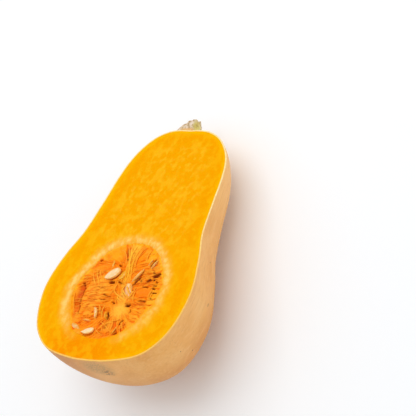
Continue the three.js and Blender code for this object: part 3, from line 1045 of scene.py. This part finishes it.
def shape_seed():
    """One seed at full size, pointed towards +X."""
    start_clean()
    bpy.ops.mesh.primitive_uv_sphere_add(segments=48, ring_count=26, radius=MM)
    seed = bpy.context.object
    seed.name = "seed_model"
    x, y, z = corners(seed).T
    taper = (1.0 - 0.36 * x - 0.10 * x * x) * (1.0 - 0.60 * smooth(x, 0.3, 1.0))
    in_plan = np.clip(np.hypot(x, y), 0.0, 1.0)
    plump = np.sqrt(np.maximum(1.0 - in_plan ** 2, 0.0))
    margin = hump(in_plan, 0.93, 0.05) * 0.16
    groove = hump(in_plan, 0.84, 0.06) * 0.10
    belly = np.sign(z) * (0.80 * plump ** 0.8 + margin - groove * plump)
    set_corners(seed, np.stack([
        x * SEED_LENGTH / 2,
        y * SEED_WIDTH / 2 * taper,
        belly * SEED_THICKNESS / 2 * (1.0 - 0.12 * x),
    ], 1))
    paint(seed, "margin", smooth(in_plan, 0.78, 0.95))
    return seed


seed_model = shape_seed()
seeds = []
for seed_number, (x, y, z, heading, roll, dip, scale, stain) in enumerate(SEED_PLACES, start=1):
    seed = seed_model.copy()
    seed.data = seed_model.data.copy()
    seed.name = f"squash_seed_{seed_number:02d}"
    bpy.context.collection.objects.link(seed)
    turned = Matrix.Rotation(math.radians(heading), 3, "Z")
    turned @= Matrix.Rotation(math.radians(dip), 3, "Y")
    turned @= Matrix.Rotation(math.radians(roll), 3, "X")
    places = corners(seed) * scale @ np.array(turned).T + (x, y, z)
    set_corners(seed, places)
    paint(seed, "stain", np.full(len(places), stain))
    seeds.append(seed)
bpy.data.objects.remove(seed_model)
print(len(seeds), "seeds")

# %% [markdown]
# The stem
#
# What is left of the stem is a short corky stub with five blunt ridges, wide at its foot, leaning
# a little, its end snapped off roughly and aslant. It is extruded ring by ring from a disc, and a
# formula pushes out the ridges and the rough bark. What would stand above the cut is cut away.

# %% Stem
STEM_X, STEM_Z = -7.0, -6.5
STEM_FOOT = FRUIT_LENGTH - 6.0
STEM_LEAN = 0.13
STEM_SLANT = 0.18
STEM_SIDES = 96
STEM_RIDGES = 5
STEM_RIDGE_HEIGHT = 0.10

# Height above the foot and radius.
STEM_PROFILE = [
    (0.0, 9.4), (6.5, 9.0), (10.5, 8.0), (14.8, 6.7), (18.0, 5.9), (19.5, 5.1), (20.1, 3.8), (19.8, 2.2),
]
stem_rings = curve_through(STEM_PROFILE, 6)

start_clean()
bpy.ops.mesh.primitive_circle_add(vertices=STEM_SIDES, radius=MM, fill_type="NGON",
                                  rotation=(-0.5 * math.pi, 0.0, 0.0))
stem = bpy.context.object
stem.name = "squash_stem"
bpy.ops.object.transform_apply(rotation=True)
bpy.ops.object.mode_set(mode="EDIT")
bpy.ops.mesh.select_mode(type="VERT")
bpy.ops.mesh.select_all(action="SELECT")


def stem_ring(height, radius):
    """One ring of the stem, with ridges, rough bark and the lean."""
    def place(x, z):
        around = math.atan2(z, x)
        ridge = 1.0 + STEM_RIDGE_HEIGHT * math.cos(STEM_RIDGES * around + 0.6)
        round_x, round_z = math.cos(around), math.sin(around)
        bark = 0.6 * float(grain(6.0 + 3.0 * round_x, 6.0 + 3.0 * round_z + height / 3.0, 35))
        bark += 0.15 * float(grain(12.0 + 7.0 * round_x, 12.0 + 7.0 * round_z + height / 1.5, 32))
        reach = radius * ridge + bark * min(1.0, radius / 6.0)
        lean = STEM_LEAN * max(height - 6.0, 0.0)
        rise = 0.8 * bark + STEM_SLANT * reach * round_x * float(smooth(height, 8.0, 16.0))
        return (STEM_X + lean + reach * round_x, STEM_FOOT + height + rise, STEM_Z + reach * round_z)
    return place


def move_ring(body, place):
    """Moves each selected corner to place(x, z), taken round the ring's own middle."""
    net = bmesh.from_edit_mesh(body.data)
    ring = [corner for corner in net.verts if corner.select]
    middle = sum((corner.co for corner in ring), Vector()) / len(ring)
    for corner in ring:
        corner.co = Vector(place(corner.co.x - middle.x, corner.co.z - middle.z)) * MM
    bmesh.update_edit_mesh(body.data)


move_ring(stem, stem_ring(*stem_rings[0]))
for height, radius in stem_rings[1:]:
    bpy.ops.mesh.extrude_region_move(TRANSFORM_OT_translate={"value": (0, MM, 0)})
    move_ring(stem, stem_ring(height, radius))
bpy.ops.mesh.inset(thickness=1.1 * MM, depth=-0.5 * MM)
bpy.ops.mesh.select_all(action="SELECT")
bpy.ops.mesh.bisect(plane_co=(0, 0, -0.25 * MM), plane_no=(0, 0, 1), clear_outer=True, use_fill=True)
bpy.ops.mesh.select_all(action="SELECT")
bpy.ops.mesh.normals_make_consistent(inside=False)
bpy.ops.object.mode_set(mode="OBJECT")
print("stem:", len(stem.data.polygons), "faces")

# %% [markdown]
# Helpers for finishes
#
# Every finish is a procedure: noise and distances turned into colour by ramps. All patterns read
# the place in the fruit's own axes in millimetres, which a Mapping node works out from Object
# coordinates, so a size in a finish is a size on the squash.

# %% Helpers for finishes


def new_finish(name, roughness, specular, soft):
    """A material and its shader, with its gloss and how far light soaks in."""
    finish = bpy.data.materials.new(name)
    finish.use_nodes = True
    shader = finish.node_tree.nodes["Principled BSDF"]
    shader.inputs["Roughness"].default_value = roughness
    shader.inputs["Specular IOR Level"].default_value = specular
    shader.inputs["Subsurface Weight"].default_value = soft
    shader.inputs["Subsurface Radius"].default_value = (1.0, 0.35, 0.08)
    shader.inputs["Subsurface Scale"].default_value = 1.6 * MM
    return finish, shader


def add_node(finish, kind, sockets, **settings):
    """Adds a node; sockets gives each input a value or another node's output."""
    node = finish.node_tree.nodes.new(kind)
    for name, value in settings.items():
        setattr(node, name, value)
    for name, value in sockets.items():
        if isinstance(value, bpy.types.NodeSocket):
            finish.node_tree.links.new(value, node.inputs[name])
        else:
            node.inputs[name].default_value = value
    return node


def fruit_place(finish):
    """The place in the fruit's own axes, in millimetres."""
    where = add_node(finish, "ShaderNodeTexCoord", {})
    turned = add_node(finish, "ShaderNodeMapping", {
        "Vector": where.outputs["Object"],
        "Location": BLOSSOM_END,
        "Rotation": (-REST_TILT, 0.0, 0.0),
        "Scale": (MM, MM, MM),
    }, vector_type="TEXTURE")
    return turned.outputs["Vector"]


def stretched(finish, place, across, along, deep):
    """The place counted in patches of the given size in millimetres."""
    sized = add_node(finish, "ShaderNodeVectorMath", {0: place, 1: (1 / across, 1 / along, 1 / deep)},
                     operation="MULTIPLY")
    return sized.outputs["Vector"]


def noise(finish, vector, detail):
    cloud = add_node(finish, "ShaderNodeTexNoise", {"Vector": vector, "Scale": 1.0, "Detail": detail})
    return cloud.outputs["Fac"]


def number(finish, name):
    """A number that was kept on the corners of the piece."""
    kept = add_node(finish, "ShaderNodeAttribute", {}, attribute_name=name)
    return kept.outputs["Fac"]


def ease(finish, value, low, high, start=0.0, end=1.0):
    """Maps a value from low..high to start..end, smoothly."""
    mapped = add_node(finish, "ShaderNodeMapRange", {
        "Value": value, "From Min": low, "From Max": high, "To Min": start, "To Max": end,
    }, interpolation_type="SMOOTHSTEP")
    return mapped.outputs["Result"]


def count(finish, operation, first, second):
    """Sum, product or the like of two values."""
    return add_node(finish, "ShaderNodeMath", {0: first, 1: second}, operation=operation).outputs["Value"]


def blend(finish, amount, first, second):
    """Mixes two colours; each is a node's output or a screen colour."""
    mixed = finish.node_tree.nodes.new("ShaderNodeMix")
    mixed.data_type = "RGBA"
    for socket, value in ((mixed.inputs[0], amount), (mixed.inputs[6], first), (mixed.inputs[7], second)):
        if isinstance(value, bpy.types.NodeSocket):
            finish.node_tree.links.new(value, socket)
        else:
            socket.default_value = (*linear(*value), 1.0) if isinstance(value, tuple) else value
    return mixed.outputs[2]


def ramp(finish, value, *stops):
    """A row of screen colours along a value from 0 to 1."""
    row = add_node(finish, "ShaderNodeValToRGB", {"Fac": value})
    while len(row.color_ramp.elements) < len(stops):
        row.color_ramp.elements.new(1.0)
    for element, (position, colour) in zip(row.color_ramp.elements, stops):
        element.position = position
        element.color = (*linear(*colour), 1.0)
    return row.outputs["Color"]


def spot(finish, place, centre, size):
    """1 at a centre, falling to 0 at the edge of a soft oval of the given half sizes."""
    off = add_node(finish, "ShaderNodeVectorMath", {0: place, 1: centre}, operation="SUBTRACT")
    scaled = stretched(finish, off.outputs["Vector"], *size)
    far = add_node(finish, "ShaderNodeVectorMath", {0: scaled}, operation="LENGTH").outputs["Value"]
    return ease(finish, far, 1.0, 0.3)


def roughen(finish, shader, height, depth):
    """Small bumps, depth in millimetres, on top of the modelled form."""
    bump = add_node(finish, "ShaderNodeBump", {"Height": height, "Distance": depth * MM, "Strength": 1.0})
    finish.node_tree.links.new(bump.outputs["Normal"], shader.inputs["Normal"])


def give(finish, shader, socket, value):
    finish.node_tree.links.new(value, shader.inputs[socket])


print("helpers ready")

# %% [markdown]
# Finish of the flesh
#
# Firm flesh is bright yellow just under the rind and turns orange further in, deepest at the low
# end. The neck is mottled with paler streaks, a pale ring runs round the cavity, and inside that
# ring the flesh is already stringy and darker. It is moist but not shiny, and light soaks a little
# way into it.

# %% Flesh finish
FLESH_UNDER_RIND = [
    (0.0, (244, 176, 4)), (0.06, (243, 168, 0)), (0.16, (242, 160, 0)),
    (0.55, (241, 155, 0)), (1.0, (242, 162, 1)),
]
FLESH_LOW_END = (242, 139, 0)
FLESH_IN_NECK, NECK_STREAKS = (241, 160, 1), (244, 178, 40)
FLESH_PALE_PATCHES = (244, 182, 16)
FLESH_AT_CAVITY = (240, 148, 4)
RING_COLOUR = (247, 204, 114)
FLESH_PALE_GRAIN, FLESH_DEEP_GRAIN = (245, 184, 14), (236, 140, 0)

flesh_finish, shader = new_finish("squash_flesh", 0.55, 0.0, 0.15)
place = fruit_place(flesh_finish)
axes = add_node(flesh_finish, "ShaderNodeSeparateXYZ", {"Vector": place}).outputs
patches = noise(flesh_finish, stretched(flesh_finish, place, 9.0, 17.0, 9.0), 4.0)
streaks = noise(flesh_finish, stretched(flesh_finish, place, 4.2, 5.6, 4.2), 6.0)
fine_grain = noise(flesh_finish, stretched(flesh_finish, place, 0.8, 1.3, 0.8), 3.0)

under_rind = count(flesh_finish, "ADD", number(flesh_finish, "past_rind"),
                   ease(flesh_finish, patches, 0.3, 0.7, -1.4, 1.4))
base = ramp(flesh_finish, ease(flesh_finish, under_rind, 0.0, 16.0), *FLESH_UNDER_RIND)
low_end = spot(flesh_finish, place, (-18.0, 8.0, 0.0), (46.0, 24.0, 40.0))
base = blend(flesh_finish, low_end, base, FLESH_LOW_END)
in_neck = count(flesh_finish, "MULTIPLY", ease(flesh_finish, axes["Y"], 88.0, 118.0),
                ease(flesh_finish, under_rind, 7.0, 18.0))
base = blend(flesh_finish, in_neck, base, FLESH_IN_NECK)
mottle = count(flesh_finish, "ADD", ease(flesh_finish, streaks, 0.50, 0.66, 0.0, 0.6),
               ease(flesh_finish, patches, 0.48, 0.66, 0.0, 0.45))
base = blend(flesh_finish, count(flesh_finish, "MULTIPLY", in_neck, mottle), base, NECK_STREAKS)
elsewhere = ease(flesh_finish, count(flesh_finish, "ADD", patches, streaks), 0.92, 1.16, 0.0, 0.5)
base = blend(flesh_finish, elsewhere, base, FLESH_PALE_PATCHES)
near = ease(flesh_finish, number(flesh_finish, "past_cavity"), 6.0, 0.5)
near = count(flesh_finish, "MULTIPLY", near,
             ease(flesh_finish, number(flesh_finish, "fibres"), -0.6, 0.5, 0.45, 1.0))
base = blend(flesh_finish, count(flesh_finish, "MULTIPLY", near, 0.8), base, FLESH_AT_CAVITY)
ring_look = count(flesh_finish, "MULTIPLY", number(flesh_finish, "pale_ring"),
                  ease(flesh_finish, streaks, 0.40, 0.58, 0.45, 1.05))
ring_look = count(flesh_finish, "MULTIPLY", ring_look,
                  ease(flesh_finish, number(flesh_finish, "fibres"), -0.9, 0.6, 0.6, 1.1))
base = blend(flesh_finish, ring_look, base, RING_COLOUR)
base = blend(flesh_finish, ease(flesh_finish, fine_grain, 0.4, 0.64, 0.0, 0.2), base, FLESH_PALE_GRAIN)
base = blend(flesh_finish, ease(flesh_finish, fine_grain, 0.44, 0.3, 0.0, 0.2), base, FLESH_DEEP_GRAIN)
give(flesh_finish, shader, "Base Color", base)
roughen(flesh_finish, shader, fine_grain, 0.10)
print("flesh finish:", len(flesh_finish.node_tree.nodes), "nodes")

# %% [markdown]
# Finish of the rind
#
# The skin is smooth and matt, peach to tan, with shade painted darker on its underside and low on
# the left. It has faint lengthwise streaks, a few small nicks and a grey-brown corky scar where
# the blossom sat. Each nick is placed on the skin by its distance from the blossom end and its
# direction. The cut edge shows the pale layer under the skin.

# %% Rind finish
SKIN_TONES = [(0.3, (233, 165, 88)), (0.5, (242, 178, 101)), (0.72, (246, 188, 115))]
SKIN_NEAR_STEM = (249, 191, 118)
SKIN_PAINTED_SHADE = (200, 124, 48)
DARK_STREAKS, PALE_STREAKS = (220, 154, 88), (250, 202, 144)
PALE_SPECKS, DARK_SPECKS = (250, 206, 150), (202, 140, 80)
SCAR_CENTRE, SCAR_SIZE, SCAR_COLOUR = (-3.0, 0.5, -11.0), (17.0, 14.0, 15.0), (178, 138, 88)
CORE_CENTRE, CORE_SIZE, CORE_COLOUR = (2.5, 1.0, -18.0), (6.5, 9.0, 5.5), (120, 86, 52)
NICK_COLOUR = (142, 96, 56)
EDGE_AT_BULB, EDGE_AT_STEM = (250, 200, 96), (255, 228, 158)
SKIN_STOPS = 400
STOPS_BEFORE_STEM = 360

# Distance from the blossom end, direction in degrees, and half width and half length.
NICKS = [
    (67.0, -13.7, 0.8, 2.4), (35.0, -25.0, 1.0, 1.0), (98.0, -9.0, 0.5, 0.9),
    (26.0, -15.0, 0.6, 0.7), (20.0, -146.0, 1.0, 1.6), (130.0, -165.0, 0.7, 1.4),
]


def on_skin(station, degrees):
    """A place on the skin, from its distance to the blossom end and its direction."""
    radius, stations = outline_points(0.0, SKIN_STOPS)[:STOPS_BEFORE_STEM].T
    spoke = float(np.interp(station, stations, radius))
    angle = math.radians(degrees)
    blank = np.array([[spoke * math.cos(angle), station, spoke * math.sin(angle)]])
    return tuple(bend_to_fruit(blank)[0])


rind_finish, shader = new_finish("squash_rind", 0.5, 0.22, 0.05)
place = fruit_place(rind_finish)
axes = add_node(rind_finish, "ShaderNodeSeparateXYZ", {"Vector": place}).outputs
clouds = noise(rind_finish, stretched(rind_finish, place, 16.0, 34.0, 16.0), 3.0)
lines = noise(rind_finish, stretched(rind_finish, place, 1.6, 22.0, 1.6), 3.0)
specks = noise(rind_finish, stretched(rind_finish, place, 1.1, 1.6, 1.1), 2.0)

skin = ramp(rind_finish, clouds, *SKIN_TONES)
skin = blend(rind_finish, ease(rind_finish, axes["Y"], 110.0, 175.0), skin, SKIN_NEAR_STEM)
# Painted shade: the skin is made darker on its underside and low on the left, where light falls less.
painted_low_left_shade = count(rind_finish, "MULTIPLY", ease(rind_finish, axes["X"], 6.0, -38.0),
                 ease(rind_finish, axes["Y"], 80.0, 20.0, 0.15, 0.75))
painted_underside_shade = count(rind_finish, "MAXIMUM", ease(rind_finish, axes["Z"], -14.0, -60.0, 0.0, 0.55), painted_low_left_shade)
skin = blend(rind_finish, painted_underside_shade, skin, SKIN_PAINTED_SHADE)
skin = blend(rind_finish, ease(rind_finish, lines, 0.50, 0.72, 0.0, 0.35), skin, DARK_STREAKS)
skin = blend(rind_finish, ease(rind_finish, lines, 0.48, 0.28, 0.0, 0.30), skin, PALE_STREAKS)
skin = blend(rind_finish, ease(rind_finish, specks, 0.62, 0.76, 0.0, 0.35), skin, PALE_SPECKS)
skin = blend(rind_finish, ease(rind_finish, specks, 0.34, 0.24, 0.0, 0.5), skin, DARK_SPECKS)
scar = spot(rind_finish, place, SCAR_CENTRE, SCAR_SIZE)
scar = count(rind_finish, "MULTIPLY", scar, ease(rind_finish, specks, 0.36, 0.56, 0.2, 0.7))
skin = blend(rind_finish, scar, skin, SCAR_COLOUR)
core = spot(rind_finish, place, CORE_CENTRE, CORE_SIZE)
core = count(rind_finish, "MULTIPLY", core, ease(rind_finish, specks, 0.44, 0.58, 0.0, 0.8))
skin = blend(rind_finish, core, skin, CORE_COLOUR)
for station, degrees, width, length in NICKS:
    nick = spot(rind_finish, place, on_skin(station, degrees), (width, length, width))
    skin = blend(rind_finish, nick, skin, NICK_COLOUR)
ragged = noise(rind_finish, stretched(rind_finish, place, 3.0, 3.0, 3.0), 2.0)
cut_edge = count(rind_finish, "MULTIPLY", ease(rind_finish, axes["Z"], -0.75, -0.2),
                 ease(rind_finish, ragged, 0.3, 0.6, 0.6, 1.0))
edge_colour = blend(rind_finish, ease(rind_finish, axes["Y"], 60.0, 150.0), EDGE_AT_BULB, EDGE_AT_STEM)
skin = blend(rind_finish, cut_edge, skin, edge_colour)
give(rind_finish, shader, "Base Color", skin)
roughen(rind_finish, shader, specks, 0.07)
print("rind finish:", len(rind_finish.node_tree.nodes), "nodes")

# %% [markdown]
# Finishes of pulp, seeds and stem
#
# The pulp shows the colours kept on its corners, broken up by a fine bumpy grain with painted glints
# on its bumps and painted shade in its hollows, and is wet. Seeds are cream, with a yellower margin
# and, where pulp still clings to them, an orange-tan stain. The stem is dry cork, grey-brown to
# nearly white in blotches, with a tan foot and a green tinge on its right side.

# %% Pulp, seed and stem finishes
PULP_PAINTED_GLINT, PULP_PAINTED_HOLLOW_SHADE = (255, 190, 60), (236, 98, 0)
HULL_CREAM, HULL_TAN = (249, 224, 182), (242, 206, 148)
MARGIN_COLOUR, STAIN_COLOUR = (236, 174, 74), (238, 166, 20)
CORK_TONES = [
    (0.28, (112, 88, 56)), (0.40, (178, 148, 110)), (0.52, (216, 194, 164)), (0.7, (232, 214, 200)),
]
CORK_SHOULDER, CORK_FOOT = (206, 172, 118), (228, 176, 106)
GREEN_CENTRE, GREEN_SIZE, GREEN_COLOUR = (1.0, 220.0, -3.0), (5.0, 8.0, 6.0), (214, 198, 96)

pulp_finish, shader = new_finish("squash_pulp", 0.34, 0.06, 0.0)
place = fruit_place(pulp_finish)
kept = add_node(pulp_finish, "ShaderNodeAttribute", {}, attribute_name="pulp_colour").outputs["Color"]
fine_grain = noise(pulp_finish, stretched(pulp_finish, place, 0.8, 0.8, 0.8), 3.0)
# Painted glints where the fine grain's bumps stand high, painted shade where they sink.
pulp_with_painted_light = blend(pulp_finish, ease(pulp_finish, fine_grain, 0.52, 0.72, 0.0, 0.2), kept, PULP_PAINTED_GLINT)
pulp_with_painted_light = blend(pulp_finish, ease(pulp_finish, fine_grain, 0.46, 0.28, 0.0, 0.35), pulp_with_painted_light, PULP_PAINTED_HOLLOW_SHADE)
give(pulp_finish, shader, "Base Color", pulp_with_painted_light)
roughen(pulp_finish, shader, fine_grain, 0.12)

seed_finish, shader = new_finish("squash_seed", 0.36, 0.25, 0.12)
place = fruit_place(seed_finish)
shreds = noise(seed_finish, stretched(seed_finish, place, 2.2, 2.2, 2.2), 3.0)
hull = blend(seed_finish, ease(seed_finish, shreds, 0.35, 0.65), HULL_CREAM, HULL_TAN)
margin = count(seed_finish, "MULTIPLY", number(seed_finish, "margin"), 0.8)
hull = blend(seed_finish, margin, hull, MARGIN_COLOUR)
stain = count(seed_finish, "MULTIPLY", number(seed_finish, "stain"),
              ease(seed_finish, shreds, 0.3, 0.6, 0.5, 1.0))
hull = blend(seed_finish, stain, hull, STAIN_COLOUR)
give(seed_finish, shader, "Base Color", hull)
roughen(seed_finish, shader, shreds, 0.06)

stem_finish, shader = new_finish("squash_stem", 0.8, 0.15, 0.0)
place = fruit_place(stem_finish)
axes = add_node(stem_finish, "ShaderNodeSeparateXYZ", {"Vector": place}).outputs
cork = noise(stem_finish, stretched(stem_finish, place, 2.4, 3.0, 2.4), 5.0)
bark = ramp(stem_finish, cork, *CORK_TONES)
shoulder = ease(stem_finish, axes["X"], -8.0, -18.0, 0.0, 0.5)
bark = blend(stem_finish, shoulder, bark, CORK_SHOULDER)
foot = count(stem_finish, "MULTIPLY", ease(stem_finish, axes["Y"], 216.5, 214.0, 0.0, 0.85),
             ease(stem_finish, axes["X"], -13.0, -8.0))
bark = blend(stem_finish, foot, bark, CORK_FOOT)
green = count(stem_finish, "MULTIPLY", spot(stem_finish, place, GREEN_CENTRE, GREEN_SIZE),
              ease(stem_finish, cork, 0.35, 0.55, 0.4, 0.9))
bark = blend(stem_finish, green, bark, GREEN_COLOUR)
give(stem_finish, shader, "Base Color", bark)
roughen(stem_finish, shader, cork, 0.2)
print("pulp, seed and stem finishes")

# %% [markdown]
# Handing over
#
# Every piece is smoothed, carried to its place on the table and given its finish, and the parts
# of the packed model that it stands for are hidden.

# %% On the table
for piece in (rind, flesh, pulp, stem, *seeds):
    shade(piece)
    lay_on_table(piece)
hand_over(rind, rind_finish, "rind", "rind")
hand_over(flesh, flesh_finish, "flesh", "flesh")
hand_over(pulp, pulp_finish, "pulp", "seed_pulp")
hand_over(stem, stem_finish, "stem", "stem")
for seed_number, seed in enumerate(seeds, start=1):
    hand_over(seed, seed_finish, "seed", f"seed_{seed_number:02d}")
